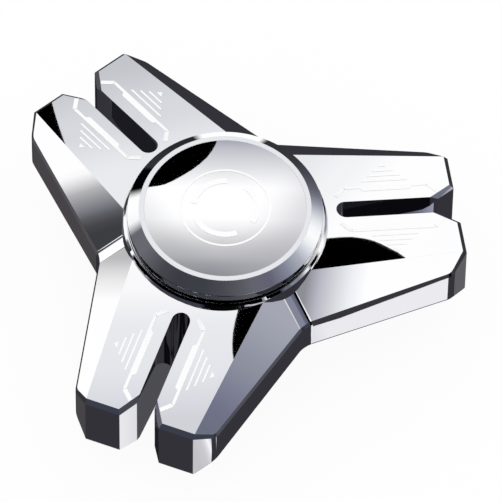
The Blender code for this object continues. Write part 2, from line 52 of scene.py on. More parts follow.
SPIN_BODY = "spinner_body"
MERGE = 0.0005 * MM
STROKE_MERGE = 0.002 * MM
ETCH_DEPTH = 0.012 * MM
EVEN_WITHIN = 0.008
TURNED_SHARP = math.radians(28.0)
DOWN = Vector((0, 0, -1))
REFLECTANCE = 0.9
VIEW_AZIMUTH = -9.78
VIEW_ELEVATION = 57.0

Piece = bpy.types.Object
Socket = bpy.types.NodeSocket
Tree = bpy.types.NodeTree
Material = bpy.types.Material
Colour = Point = tuple[float, float, float]
Flat = tuple[float, float]
Profile = list[Flat]
Stops = tuple[tuple[float, str, float], ...]


class Face(Enum):
    """The two mirrored faces of the spinner."""

    UPPER = "upper"
    LOWER = "lower"


class Grain(Enum):
    """How a metal surface was finished."""

    POLISHED = "polished"
    TURNED = "turned"
    FROSTED = "frosted"


def clear_selection() -> None:
    """Leave edit mode and deselect everything."""
    if bpy.context.object and bpy.context.object.mode != "OBJECT":
        bpy.ops.object.mode_set(mode="OBJECT")
    bpy.ops.object.select_all(action="DESELECT")


def activate(obj: Piece) -> None:
    """Make one piece the only selected and active one.

    Args:
        obj: The piece.
    """
    clear_selection()
    obj.select_set(True)
    bpy.context.view_layer.objects.active = obj


def settle(obj: Piece) -> None:
    """Apply a piece's place and modifiers, so that its shape is all in its mesh.

    Args:
        obj: The piece.
    """
    activate(obj)
    for modifier in list(obj.modifiers):
        bpy.ops.object.modifier_apply(modifier=modifier.name)
    bpy.ops.object.transform_apply(location=True, rotation=True, scale=True)


def even_facets(obj: Piece) -> None:
    """Let each broad facet keep its own flat reflection up to its eased edges.

    The piece is grown to millimetres for it, as the weighing of areas is too coarse for metres.

    Args:
        obj: The piece, already shaded smooth with sharp corners marked.
    """
    settle(obj)
    obj.scale = Vector((1, 1, 1)) / MM
    settle(obj)
    even = obj.modifiers.new("even facets", "WEIGHTED_NORMAL")
    even.mode = "FACE_AREA"
    even.weight = 100
    even.thresh = EVEN_WITHIN
    even.keep_sharp = True
    settle(obj)
    obj.scale = Vector((1, 1, 1)) * MM
    settle(obj)


def start_piece(name: str) -> Piece:
    """Start a piece from one small plane, selected in edit mode.

    Args:
        name: Name of the new piece.

    Returns:
        The piece.
    """
    clear_selection()
    bpy.ops.mesh.primitive_plane_add(size=MM, location=(0, 0, 0))
    obj = bpy.context.object
    obj.name = name
    obj.data.name = name
    bpy.ops.object.mode_set(mode="EDIT")
    bpy.ops.mesh.select_all(action="SELECT")
    return obj


def merge_doubles(distance: float = MERGE) -> None:
    """Merge the doubled vertices of the piece in edit mode and leave all of it selected."""
    bpy.ops.mesh.select_all(action="SELECT")
    bpy.ops.mesh.remove_doubles(threshold=distance)


def turn_profile(name: str, profile: Profile, steps: int) -> Piece:
    """Draw a profile with extruded vertices and spin it about the Z axis.

    Args:
        name: Name of the new piece.
        profile: Closed loop or axis-to-axis run of (radius, height) points.
        steps: Steps round the full turn.

    Returns:
        The turned piece.
    """
    obj = start_piece(name)
    bpy.ops.mesh.merge(type="CENTER")
    bpy.ops.transform.translate(value=(profile[0][0], 0, profile[0][1]))
    for here, there in zip(profile, profile[1:]):
        step = (there[0] - here[0], 0, there[1] - here[1])
        bpy.ops.mesh.extrude_vertices_move(TRANSFORM_OT_translate={"value": step})
    bpy.ops.mesh.select_all(action="SELECT")
    bpy.ops.mesh.spin(steps=steps, angle=math.tau, center=(0, 0, 0), axis=(0, 0, 1))
    merge_doubles()
    bpy.ops.mesh.normals_make_consistent(inside=False)
    bpy.ops.object.mode_set(mode="OBJECT")
    bpy.ops.object.shade_smooth_by_angle(angle=TURNED_SHARP)
    return obj


def arc_points(centre: Flat, radius: float, start: float, end: float, steps: int) -> Profile:
    """Points on an arc, both ends included.

    Args:
        centre: Its centre.
        radius: Its radius.
        start: First angle in degrees.
        end: Last angle in degrees.
        steps: Steps between them.

    Returns:
        The points in order.
    """
    angles = [math.radians(start + (end - start) * i / steps) for i in range(steps + 1)]
    return [(centre[0] + radius * math.cos(angle), centre[1] + radius * math.sin(angle)) for angle in angles]


def copy_of(obj: Piece, name: str) -> Piece:
    """Copy a piece with a mesh of its own.

    Args:
        obj: The piece to copy.
        name: Name of the copy.

    Returns:
        The copy.
    """
    twin = obj.copy()
    twin.data = obj.data.copy()
    twin.name = name
    twin.data.name = name
    twin.parent = None
    bpy.context.collection.objects.link(twin)
    return twin


def mirror_mesh(obj: Piece, height: float) -> None:
    """Mirror a settled piece in a horizontal plane and turn its faces out again.

    Args:
        obj: The piece.
        height: Height of the plane.
    """
    flip = Matrix.Translation((0, 0, 2 * height)) @ Matrix.Scale(-1, 4, (0, 0, 1))
    obj.data.transform(flip)
    obj.data.flip_normals()


def dress(obj: Piece, material: Material) -> None:
    """Give a piece one material."""
    obj.data.materials.clear()
    obj.data.materials.append(material)


def shown_as(code: str) -> Colour:
    """The tone that bright plating reflects as a given colour.

    Args:
        code: The colour as six hexadecimal digits.

    Returns:
        Linear red, green and blue.
    """
    values = [int(code[i:i + 2], 16) / 255 for i in (0, 2, 4)]
    linear = [value / 12.92 if value <= 0.04045 else ((value + 0.055) / 1.055) ** 2.4 for value in values]
    return tuple(value / REFLECTANCE for value in linear)


def stops(text: str) -> Stops:
    """Read a graded tone: a place, a tone and, where it isn't full, a cover for each stop, between commas."""
    rows = [(*entry.split(), "1")[:3] for entry in text.split(",")]
    return tuple((float(place), tone, float(cover)) for place, tone, cover in rows)


def points(text: str) -> list[Vector]:
    """Read points in millimetres, between commas."""
    return [Vector([float(number) for number in entry.split()]) * MM for entry in text.split(",")]


class Wiring:
    """The nodes of a material, a shader group or the world, and the links between them."""

    def __init__(self, tree: Tree) -> None:
        """Take on a node tree."""
        self.tree = tree

    def feed(self, target: Socket, value: object) -> None:
        """Join a socket to another, or set its value.

        Args:
            target: The socket.
            value: The other socket, or the value.
        """
        if isinstance(value, Socket):
            self.tree.links.new(value, target)
        else:
            target.default_value = value

    def node(self, kind: str, inputs: dict[str | int, object] | None = None, **settings: object) -> bpy.types.Node:
        """Add a node, set its properties and feed its inputs.

        Args:
            kind: The node's type, without "ShaderNode".
            inputs: A socket or a value for each named or numbered input.
            **settings: Properties to set.

        Returns:
            The new node.
        """
        made = self.tree.nodes.new(f"ShaderNode{kind}")
        for key, value in settings.items():
            setattr(made, key, value)
        for key, value in (inputs or {}).items():
            self.feed(made.inputs[key], value)
        return made

    def maths(self, operation: str, *values: object) -> Socket:
        """Add a maths node fed by sockets or numbers, and give its output."""
        return self.node("Math", dict(enumerate(values)), operation=operation).outputs[0]

    def dot(self, vector: Socket, other: Vector) -> Socket:
        """The dot product of a socket's vector with a fixed one."""
        return self.node("VectorMath", {0: vector, 1: other}, operation="DOT_PRODUCT").outputs["Value"]

    def blend(self, share: Socket, first: object, second: object) -> Socket:
        """Blend from a first colour to a second one."""
        return self.node("Mix", {0: share, 6: first, 7: second}, data_type="RGBA").outputs[2]

    def fade(self, value: Socket, start: float, end: float, kind: str = "LINEAR") -> Socket:
        """Fade from one to zero.

        Args:
            value: What it depends on.
            start: Where the fade starts.
            end: Where it ends.
            kind: Its interpolation.

        Returns:
            The faded value.
        """
        span = {"Value": value, "From Min": start, "From Max": end, "To Min": 1.0, "To Max": 0.0}
        return self.node("MapRange", span, interpolation_type=kind).outputs["Result"]

    def ramp(self, value: Socket, tones: Stops, kind: str = "LINEAR") -> bpy.types.Node:
        """Add a colour ramp.

        Args:
            value: What it depends on.
            tones: Its stops, the first of them at 0.
            kind: Its interpolation.

        Returns:
            The ramp, with the tone as its colour and the cover as its alpha.
        """
        made = self.node("ValToRGB", {"Fac": value})
        made.color_ramp.interpolation = kind
        elements = made.color_ramp.elements
        for place, _, _ in tones[1:-1]:
            elements.new(place)
        for element, (_, tone, cover) in zip(elements, tones):
            element.color = (*shown_as(tone), cover)
        elements[len(elements) - 1].position = tones[-1][0]
        return made


class MaterialWiring(Wiring):
    """A new material being wired up."""

    def __init__(self, name: str) -> None:
        """Start the material.

        Args:
            name: Its name.
        """
        self.material = bpy.data.materials.new(name)
        self.material.use_nodes = True
        super().__init__(self.material.node_tree)
        self.shader = self.tree.nodes["Principled BSDF"]

    def set(self, **values: object) -> None:
        """Feed the shader's inputs, named with underscores for spaces."""
        for key, value in values.items():
            self.feed(self.shader.inputs[key.replace("_", " ")], value)

    def show(self, share: Socket, first: Socket, second: Socket) -> None:
        """Show a mix of two shaders."""
        mix = self.node("MixShader", {0: share, 1: first, 2: second})
        self.feed(self.tree.nodes["Material Output"].inputs["Surface"], mix.outputs[0])


class GroupSketch(Wiring):
    """A shader node group being wired up."""

    def __init__(self, name: str, takes: dict[str, str], gives: dict[str, str]) -> None:
        """Start a group with its sockets.

        Args:
            name: Name of the group.
            takes: The kind of each input.
            gives: The kind of each output.
        """
        super().__init__(bpy.data.node_groups.new(name, "ShaderNodeTree"))
        for sockets, way in ((takes, "INPUT"), (gives, "OUTPUT")):
            for title, kind in sockets.items():
                self.tree.interface.new_socket(name=title, in_out=way, socket_type=f"NodeSocket{kind}")
        self.inlet = self.tree.nodes.new("NodeGroupInput").outputs
        self.outlet = self.tree.nodes.new("NodeGroupOutput").inputs

    def noise(self, scale: float, detail: float) -> Socket:
        """A noise value, about 0.5 in the middle, read at the group's vector."""
        inputs = {"Detail": detail, "Vector": self.inlet["Vector"], "Scale": scale}
        return self.node("TexNoise", inputs).outputs["Fac"]


def build_polish_group() -> Tree:
    """Faint handling haze and plating tone that every metal surface shares.

    Returns:
        A group that gives Colour and Roughness.
    """
    gives = {"Colour": "Color", "Roughness": "Float"}
    sketch = GroupSketch("plating haze", {"Vector": "Vector", **gives, "Haze": "Float", "Tone": "Float"}, gives)
    inlet, maths = sketch.inlet, sketch.maths
    cloud = sketch.noise(90.0, 4.0)
    fine = sketch.noise(900.0, 2.0)
    haze = maths("MAXIMUM", maths("MULTIPLY", maths("SUBTRACT", cloud, 0.45), inlet["Haze"]), 0.0)
    grit = maths("MULTIPLY", fine, maths("MULTIPLY", inlet["Haze"], 0.3))
    rough = maths("ADD", maths("ADD", inlet["Roughness"], haze), grit)
    shade = maths("ADD", maths("MULTIPLY", maths("SUBTRACT", cloud, 0.5), inlet["Tone"]), 1.0)
    tint = sketch.node("VectorMath", {0: inlet["Colour"], "Scale": shade}, operation="SCALE")
    sketch.feed(sketch.outlet["Roughness"], rough)
    sketch.feed(sketch.outlet["Colour"], tint.outputs[0])
    return sketch.tree


def build_turning_group() -> Tree:
    """Concentric tool marks round the spin axis.

    Returns:
        A group that gives a Mask.
    """
    sketch = GroupSketch("turning marks", {"Vector": "Vector", "Pitch": "Float"}, {"Mask": "Float"})
    maths = sketch.maths
    x, y, z = sketch.node("SeparateXYZ", {0: sketch.inlet["Vector"]}).outputs
    radius = maths("SQRT", maths("ADD", maths("MULTIPLY", x, x), maths("MULTIPLY", y, y)))
    turns = maths("DIVIDE", maths("MULTIPLY", maths("ADD", radius, z), math.tau), sketch.inlet["Pitch"])
    wave = maths("MULTIPLY_ADD", maths("SINE", turns), 0.5, 0.5)
    sketch.feed(sketch.outlet["Mask"], maths("MULTIPLY", wave, sketch.noise(700.0, 2.0)))
    return sketch.tree


def build_frost_group() -> Tree:
    """The fine pitting that a laser leaves on plated metal.

    Returns:
        A group that gives a Mask.
    """
    sketch = GroupSketch("laser frost", {"Vector": "Vector"}, {"Mask": "Float"})
    pits = sketch.node("TexVoronoi", {"Scale": 9000.0, "Vector": sketch.inlet["Vector"]}, feature="F1")
    mixed = sketch.maths("MULTIPLY", pits.outputs["Distance"], sketch.noise(1500.0, 3.0))
    sketch.feed(sketch.outlet["Mask"], mixed)
    return sketch.tree


@dataclass(frozen=True)
class MetalFinish:
    """One metal finish of the spinner."""

    name: str
    slot: str
    colour: Colour
    roughness: float
    metallic: float = 1.0
    haze: float = 0.02
    tone: float = 0.03
    grain: Grain = Grain.POLISHED
    grain_spread: float = 0.12
    pitch: float = 0.1 * MM
    bump: float = 0.0
    bump_strength: float = 0.5

    def build(self, groups: dict[Grain, Tree]) -> Material:
        """Wire up the finish as a material.

        Args:
            groups: The shared shader group of each grain.

        Returns:
            The finished material.
        """
        wiring = MaterialWiring(self.name)
        place = wiring.node("TexCoord").outputs["Object"]
        look = {"Colour": (*self.colour, 1.0), "Roughness": self.roughness, "Haze": self.haze, "Tone": self.tone}
        haze = wiring.node("Group", {"Vector": place, **look}, node_tree=groups[Grain.POLISHED]).outputs
        rough = haze["Roughness"]
        if self.grain is not Grain.POLISHED:
            spacing = {"Pitch": self.pitch} if self.grain is Grain.TURNED else {}
            marks = wiring.node("Group", {"Vector": place, **spacing}, node_tree=groups[self.grain]).outputs
            rough = wiring.maths("MULTIPLY_ADD", marks["Mask"], self.grain_spread, rough)
            if self.bump > 0:
                relief = {"Distance": self.bump, "Strength": self.bump_strength, "Height": marks["Mask"]}
                wiring.set(Normal=wiring.node("Bump", relief).outputs["Normal"])
        wiring.set(Metallic=self.metallic, Base_Color=haze["Colour"], Roughness=rough)
        return wiring.material


class FinishShop:
    """Builds every material of the spinner once."""

    BODY_CHROME = MetalFinish("body chrome", "body_chrome", (0.89, 0.89, 0.90), 0.008, haze=0.01)
    CAP_CHROME = MetalFinish("cap chrome", "cap_chrome", (0.89, 0.89, 0.90), 0.01, haze=0.01)
    DISC_CHROME = MetalFinish("disc chrome", "disc_chrome", (0.90, 0.90, 0.91), 0.008, haze=0.008)
    # Painted reflection: the chrome rim gets a pale, matte, non-metal tone that stands in for the bright ring of light
    # it reflects.
    RIM_PAINTED_REFLECTION = MetalFinish("rim painted reflection", "cap_chrome", (0.79, 0.80, 0.835), 0.4, metallic=0.0)
    ETCHED = MetalFinish(
        "etched marks", "body_chrome", (1.0, 1.0, 1.0), 0.6, metallic=0.0, tone=0.01, grain=Grain.FROSTED
    )
    BEARING_STEEL = MetalFinish(
        "bearing steel", "bearing_steel", (0.62, 0.62, 0.64), 0.16, grain=Grain.TURNED, bump=0.002 * MM
    )
    BALL_STEEL = MetalFinish("ball steel", "ball_steel", (0.75, 0.75, 0.77), 0.05)
    DARK_STEEL = MetalFinish(
        "dark steel", "dark_steel", (0.16, 0.16, 0.17), 0.32, grain=Grain.TURNED, pitch=0.2 * MM, bump=0.004 * MM
    )
    BRASS = MetalFinish("brass", "brass", (0.78, 0.58, 0.26), 0.22, grain=Grain.TURNED, bump=0.003 * MM)
    BEARING = (
        (BEARING_STEEL, ("bearing_outer_ring", "bearing_inner_ring", "bearing_shield")),
        (DARK_STEEL, ("bearing_lock_ring", "bearing_snap_ring", "axle_stud")),
        (BALL_STEEL, ("bearing_ball",)),
        (BRASS, ("bearing_cage", "spacer_washer")),
    )

    def __init__(self) -> None:
        """Make the shared groups and then each finish."""
        groups = {
            Grain.POLISHED: build_polish_group(),
            Grain.TURNED: build_turning_group(),
            Grain.FROSTED: build_frost_group(),
        }
        finishes = [value for value in vars(FinishShop).values() if isinstance(value, MetalFinish)]
        self.materials = {finish.name: finish.build(groups) for finish in finishes}

    def put_on(self, obj: Piece, finish: MetalFinish) -> None:
        """Dress a piece in one finish."""
        dress(obj, self.materials[finish.name])

    def dress_bearing(self) -> None:
        """Dress the frame's own pieces of the bearing and the axle."""
        for finish, starts in self.BEARING:
            for name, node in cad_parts.items():
                if name.startswith(starts):
                    dress(node, self.materials[finish.name])
        LOG.info("bearing dressed")


@dataclass
class Part:
    """What each part is made with: the finishes and the height of the body's middle plane."""

    shop: FinishShop
    middle: float


@dataclass
class BodySkin(Part):
    """The plated skin of the three-arm body, with its edges eased as polishing leaves them."""

    edge_ease: float = 0.07 * MM
    ease_segments: int = 2
    sharp_from: float = math.radians(20)
    flat_within: float = math.radians(0.3)
    tip_band_end: Point = (27.4 * MM, 6.64 * MM, 3.75 * MM)
    tip_band: tuple[Point, Point] = ((27.4, 6.22, 4.18), (27.4, 6.64, 3.88))
    tip_corner: tuple[Point, Point] = ((27.04, 6.67, 4.28), (26.92, 6.67, 4.29))
    tip_near: float = 0.03 * MM
    boss_radius: float = 11.96 * MM
    boss_half_height: float = 7.05 * MM
    boss_near: float = 0.26 * MM
    boss_lean: float = 0.15 * MM

    def square_tips(self, mesh: bmesh.types.BMesh) -> None:
        """Bring the outer ends of the tip chamfers down level, so that each is one band of even width.

        Args:
            mesh: The skin's mesh in edit mode.
        """
        moves = [(Vector(old) * MM, Vector(self.tip_band_end)) for old in self.tip_band]
        moves.append([Vector(point) * MM for point in self.tip_corner])
        for arm in range(ARMS):
            turn = Matrix.Rotation(math.tau * arm / ARMS, 3, "Z")
            for vert in mesh.verts:
                local = turn.transposed() @ vert.co
                side = math.copysign(1.0, local.y)
                rise = math.copysign(1.0, local.z - self.middle)
                spot = Vector((local.x, local.y * side, (local.z - self.middle) * rise))
                for old, new in moves:
                    if (spot - old).length < self.tip_near:
                        vert.co = turn @ Vector((new.x, new.y * side, self.middle + new.z * rise))
                        break

    def lean_boss(self, mesh: bmesh.types.BMesh) -> None:
        """Draw the boss's chamfers inwards, so that its side leans a little under each cap.

        Args:
            mesh: The skin's mesh in edit mode.
        """
        for vert in mesh.verts:
            radius = math.hypot(vert.co.x, vert.co.y)
            off_level = abs(abs(vert.co.z - self.middle) - self.boss_half_height)
            if off_level < self.boss_near and abs(radius - self.boss_radius) < self.boss_near:
                share = (radius - self.boss_lean) / radius
                vert.co = Vector((vert.co.x * share, vert.co.y * share, vert.co.z))

    def build(self) -> Piece:
        """Make the skin over the frame's body.

        Returns:
            The skin.
        """
        skin = copy_of(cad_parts["body"], "body_skin")
        activate(skin)
        bpy.ops.object.mode_set(mode="EDIT")
        merge_doubles()
        self.square_tips(bmesh.from_edit_mesh(skin.data))
        bmesh.update_edit_mesh(skin.data)
        merge_doubles()
        bpy.ops.mesh.dissolve_limited(angle_limit=self.flat_within)
        self.lean_boss(bmesh.from_edit_mesh(skin.data))
        bmesh.update_edit_mesh(skin.data)
        bpy.ops.object.mode_set(mode="OBJECT")
        if skin.data.has_custom_normals:
            bpy.ops.mesh.customdata_custom_splitnormals_clear()
        bpy.ops.object.shade_smooth_by_angle(angle=self.sharp_from)
        bevel = skin.modifiers.new("eased edges", "BEVEL")
        bevel.width = self.edge_ease
        bevel.segments = self.ease_segments
        bevel.limit_method = "ANGLE"
        bevel.angle_limit = self.sharp_from
        even_facets(skin)
        self.shop.put_on(skin, FinishShop.BODY_CHROME)
        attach(skin, SPIN_BODY)
        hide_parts("body")
        LOG.info("body skin: %d faces", len(skin.data.polygons))
        return skin


@dataclass
class FingerCap(Part):
    """A finger cap: turned shell with a bevelled edge and a bright rim round a domed disc."""

    face: Face
    steps: int = 180
    hub_radius: float = 4.2 * MM
    underside: float = 7.35 * MM
    pocket_depth: float = 0.8 * MM
    lip_round: float = 0.2 * MM
    side_height: float = 1.1 * MM
    bevel_round: float = 0.12 * MM
    bevel_end: float = 48.0
    shelf_ease: float = 0.02 * MM
    rim_radius: float = 10.0 * MM
    rim_drop: float = 0.1 * MM
    rim_ease: float = 0.03 * MM
    rim_gap: float = 0.01 * MM
    rim_sink: float = 0.05 * MM
    rim_width: float = 0.6 * MM
    disc_clearance: float = 0.004 * MM
    disc_ease: float = 0.012 * MM
    dome_rise: float = 0.08 * MM
    dome_steps: int = 24

    @property
    def rim_inside(self) -> float:
        """Inner radius of the rim."""
        return self.rim_radius - self.rim_width

    @property
    def disc_radius(self) -> float:
        """Radius of the disc's skin."""
        return self.rim_inside - self.disc_clearance

    @property
    def dome_bend(self) -> float:
        """How fast the disc's normal tips outwards, for each metre from the axis."""
        return 2 * self.dome_rise / self.disc_radius ** 2

    def shell_profile(self) -> Profile:
        """Section of the upper cap's shell above its hub.

        Returns:
            A closed loop.
        """
        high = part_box("cap_upper")[1]
        radius, top = high.x, high.z
        bottom = self.middle + self.underside
        side_top = bottom + self.side_height
        shelf = top - self.rim_drop
        floor = top - self.pocket_depth
        start = (self.hub_radius, bottom)
        return [
            start,
            *arc_points((radius - self.lip_round, bottom + self.lip_round), self.lip_round, -90, 0, 8),
            *arc_points(
                (radius - self.bevel_round, side_top - self.bevel_round), self.bevel_round, 0, self.bevel_end, 5
            ),
            (self.rim_radius, shelf + self.shelf_ease), (self.rim_radius - self.shelf_ease, shelf),
            (self.rim_inside, shelf), (self.rim_inside, floor), (self.hub_radius, floor), start,
        ]

    def rim_profile(self) -> Profile:
        """Section of the bright ring that stands round the disc.

        Returns:
            A closed loop.
        """
        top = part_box("cap_upper")[1].z
        base = top - self.rim_drop - self.rim_sink
        inner, outer, ease = self.rim_inside, self.rim_radius - self.rim_gap, self.rim_ease
        return [
            (inner, base), (outer, base), (outer, top - ease), (outer - ease, top), (inner + ease, top),
            (inner, top - ease), (inner, base),
        ]

    def disc_profile(self) -> Profile:
        """Section of the upper cap's disc, domed towards its middle.

        Returns:
            Points from the axis below to the axis above.
        """
        low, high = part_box("cap_disc_upper")
        ease = self.disc_ease
        flat = self.disc_radius - ease
        edge = high.z - self.dome_rise
        points = [(0.0, low.z), (self.disc_radius, low.z), (self.disc_radius, edge - ease)]
        points += arc_points((flat, edge - ease), ease, 0, 80, 4)[1:]
        shares = [1 - i / self.dome_steps for i in range(1, self.dome_steps)]
        points += [(flat * share, high.z - self.dome_rise * share * share) for share in shares]
        return [*points, (0.0, high.z)]

    def build(self) -> Piece:
        """Make the cap's shell, disc and rim.

        Returns:
            The disc.
        """
        word = self.face.value
        pieces = (
            ("cap_shell", self.shell_profile(), FinishShop.CAP_CHROME, f"cap_{word}"),
            ("cap_disc_skin", self.disc_profile(), FinishShop.DISC_CHROME, f"cap_disc_{word}"),
            # The rim is dressed in the painted reflection tone, not in chrome.
            ("cap_rim", self.rim_profile(), FinishShop.RIM_PAINTED_REFLECTION, f"cap_{word}"),
        )
        made = {}
        for name, profile, finish, source in pieces:
            piece = turn_profile(f"{name}_{word}", profile, self.steps)
            even_facets(piece)
            if self.face is Face.LOWER:
                mirror_mesh(piece, self.middle)
            self.shop.put_on(piece, finish)
            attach(piece, CAPS_BODY)
            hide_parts(source)
            made[name] = piece
        LOG.info("%s cap: shell, disc and rim", word)
        return made["cap_disc_skin"]


class Pen:
    """Draws flat strokes from small planes laid end to end in edit mode, then gives them their thickness."""

    def __init__(self, name: str) -> None:
        """Start an empty drawing under a name."""
        self.obj = start_piece(name)
        bpy.ops.mesh.delete(type="VERT")

    def stroke(self, left: Profile, right: Profile) -> None:
        """Draw one strip between a left and a right edge of equal point counts.

        Args:
            left: Points along the left edge.
            right: Points along the right edge.
        """
        for i in range(len(left) - 1):
            bpy.ops.mesh.select_all(action="DESELECT")
            bpy.ops.mesh.primitive_plane_add(size=MM, location=(0, 0, 0))
            mesh = bmesh.from_edit_mesh(self.obj.data)
            corners = sorted((v for v in mesh.verts if v.select), key=lambda v: v.index)
            for corner, place in zip(corners, (right[i], right[i + 1], left[i], left[i + 1])):
                corner.co = (*place, 0)
            bmesh.update_edit_mesh(self.obj.data)

    def line(self, start: Flat, end: Flat, width: float) -> None:
        """Draw a straight line.

        Args:
            start: Where its middle starts.
            end: Where its middle ends.
            width: How wide it is.
        """
        along = (Vector(end) - Vector(start)).normalized()
        half = Vector((-along.y, along.x)) * (width / 2)
        self.stroke([Vector(start) + half, Vector(end) + half], [Vector(start) - half, Vector(end) - half])

    def finish(self) -> Piece:
        """Join the strokes and give them their thickness.

        Returns:
            The finished drawing.
        """
        merge_doubles(STROKE_MERGE)
        bpy.ops.mesh.extrude_region_move(TRANSFORM_OT_translate={"value": (0, 0, ETCH_DEPTH)})
        bpy.ops.mesh.select_all(action="SELECT")
        bpy.ops.mesh.normals_make_consistent(inside=False)
        bpy.ops.object.mode_set(mode="OBJECT")
        return self.obj


@dataclass
class EtchedMarks(Part):
    """The etched pattern on each prong: a bracket along the slot, stripes beside it and a small arrowhead."""

    middle_u: float = 19.4 * MM
    bracket_v: float = 2.98 * MM
    bracket_reach: float = 4.95 * MM
    foot_reach: float = 6.05 * MM
    foot_v: float = 1.82 * MM
    thin: float = 0.36 * MM
    thick: float = 0.74 * MM
    foot_width: float = 0.52 * MM
    bar_reach: float = 2.75 * MM
    bar_taper: float = 0.35 * MM
    stripe_width: float = 0.22 * MM
    stripes: tuple[Flat, ...] = ((3.80, 2.72), (4.50, 1.95), (5.17, 1.18))
    head_v: float = 5.72 * MM
    head_height: float = 0.5 * MM
    head_half: float = 0.46 * MM
    head_tip: float = 0.02 * MM
    probe_near: float = 14 * MM
    probe_far: float = 24 * MM
    probe_v: float = 4 * MM
    probe_height: float = 1.0

    def draw(self) -> Piece:
        """Draw the pattern for one prong, flat, with u along X and v along Y.

        Returns:
            The drawing.
        """
        pen = Pen("etched_marks")
        u = self.middle_u
        v = self.bracket_v
        long_bar = self.bar_reach + self.bar_taper
        for side in (-1, 1):
            knee = (u + side * self.bracket_reach, v)
            pen.line((u + side * long_bar, v), knee, self.thin)
            pen.line(knee, (u + side * self.foot_reach, self.foot_v), self.foot_width)
        outer = v + self.thin / 2
        ends = (u - long_bar, u - self.bar_reach, u + self.bar_reach, u + long_bar)
        depths = (self.thin, self.thick, self.thick, self.thin)
        pen.stroke([(end, outer) for end in ends], [(end, outer - depth) for end, depth in zip(ends, depths)])
        for height, half in self.stripes:
            pen.line((u - half * MM, height * MM), (u + half * MM, height * MM), self.stripe_width)
        tip = self.head_v + self.head_height
        pen.stroke(
            [(u - self.head_half, self.head_v), (u, tip)], [(u + self.head_half, self.head_v), (u + self.head_tip, tip)]
        )
        return pen.finish()

    def top_tilt(self, skin: Piece) -> Flat:
        """Read the upper face of the first arm off the skin.

        Args:
            skin: The body's skin.

        Returns:
            Height at u = 0 and rise for each metre of u.
        """
        near, far = (
            skin.ray_cast(Vector((u, self.probe_v, self.probe_height)), DOWN)[1].z
            for u in (self.probe_near, self.probe_far)
        )
        slope = (far - near) / (self.probe_far - self.probe_near)
        return near - slope * self.probe_near, slope

    def build(self, skin: Piece) -> None:
        """Lay the pattern on both prongs of every arm, above and below.

        Args:
            skin: The body's skin.
        """
        height, slope = self.top_tilt(skin)
        drawing = self.draw()
        twin = copy_of(drawing, "etched_twin")
        twin.data.transform(Matrix.Scale(-1, 4, (0, 1, 0)))
        twin.data.flip_normals()
        activate(drawing)
        twin.select_set(True)
        bpy.ops.object.join()
        shear = Matrix.Identity(4)
        shear[2][0] = slope
        drawing.data.transform(Matrix.Translation((0, 0, height + ETCH_DEPTH)) @ shear)
        for face in Face:
            for arm in range(ARMS):
                piece = copy_of(drawing, f"etched_marks_{face.value}_{arm + 1}")
                piece.data.transform(Matrix.Rotation(math.tau * arm / ARMS, 4, "Z"))
                if face is Face.LOWER:
                    mirror_mesh(piece, self.middle)
                self.shop.put_on(piece, FinishShop.ETCHED)
                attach(piece, SPIN_BODY)
        bpy.data.objects.remove(drawing, do_unlink=True)
        LOG.info("etched marks: %d pieces", len(Face) * ARMS)


@dataclass
class DiscMotif(Part):
    """A plain etched ring and three arcs in the middle of each disc."""

    face: Face
    ring_radius: float = 5.2 * MM
    ring_width: float = 0.26 * MM
    ring_steps: int = 96
    ring_span: float = 359.99
    arc_radius: float = 3.7 * MM
    arc_width: float = 0.7 * MM
    arc_span: float = 84.0
    arc_steps: int = 24

    def build(self, disc: Piece) -> None:
        """Lay the motif on a disc.

        Args:
            disc: The disc's skin, whose dome the motif follows.
        """
        pen = Pen(f"disc_motif_{self.face.value}")
        bands = [(self.ring_radius, self.ring_width, 0, self.ring_span, self.ring_steps)]
        for i in range(ARMS):
            start = 360 / ARMS * i - self.arc_span / 2
            bands.append((self.arc_radius, self.arc_width, start, self.arc_span, self.arc_steps))
        for radius, width, start, span, steps in bands:
            edges = (radius + width / 2, radius - width / 2)
            pen.stroke(*(arc_points((0, 0), edge, start, start + span, steps) for edge in edges))
        motif = pen.finish()
        side = 1 if self.face is Face.UPPER else -1
        for vert in motif.data.vertices:
            place = disc.ray_cast(Vector((vert.co.x, vert.co.y, self.middle + side)), DOWN * side)[1]
            vert.co.z = place.z + side * (ETCH_DEPTH + vert.co.z)
        if self.face is Face.LOWER:
            motif.data.flip_normals()
        self.shop.put_on(motif, FinishShop.ETCHED)
        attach(motif, CAPS_BODY)
        LOG.info("%s disc motif", self.face.value)


def direction(azimuth: float, elevation: float) -> Vector:
    """A unit vector in the view's own frame.

    Args:
        azimuth: Angle to the right of straight behind the object, in degrees.
        elevation: Angle above the horizon, in degrees.

    Returns:
        The direction.
    """
    a = math.radians(azimuth)
    e = math.radians(elevation)
    level = Vector((math.sin(a) * math.cos(e), math.cos(a) * math.cos(e), math.sin(e)))
    return Matrix.Rotation(math.radians(VIEW_AZIMUTH), 3, "Z") @ level


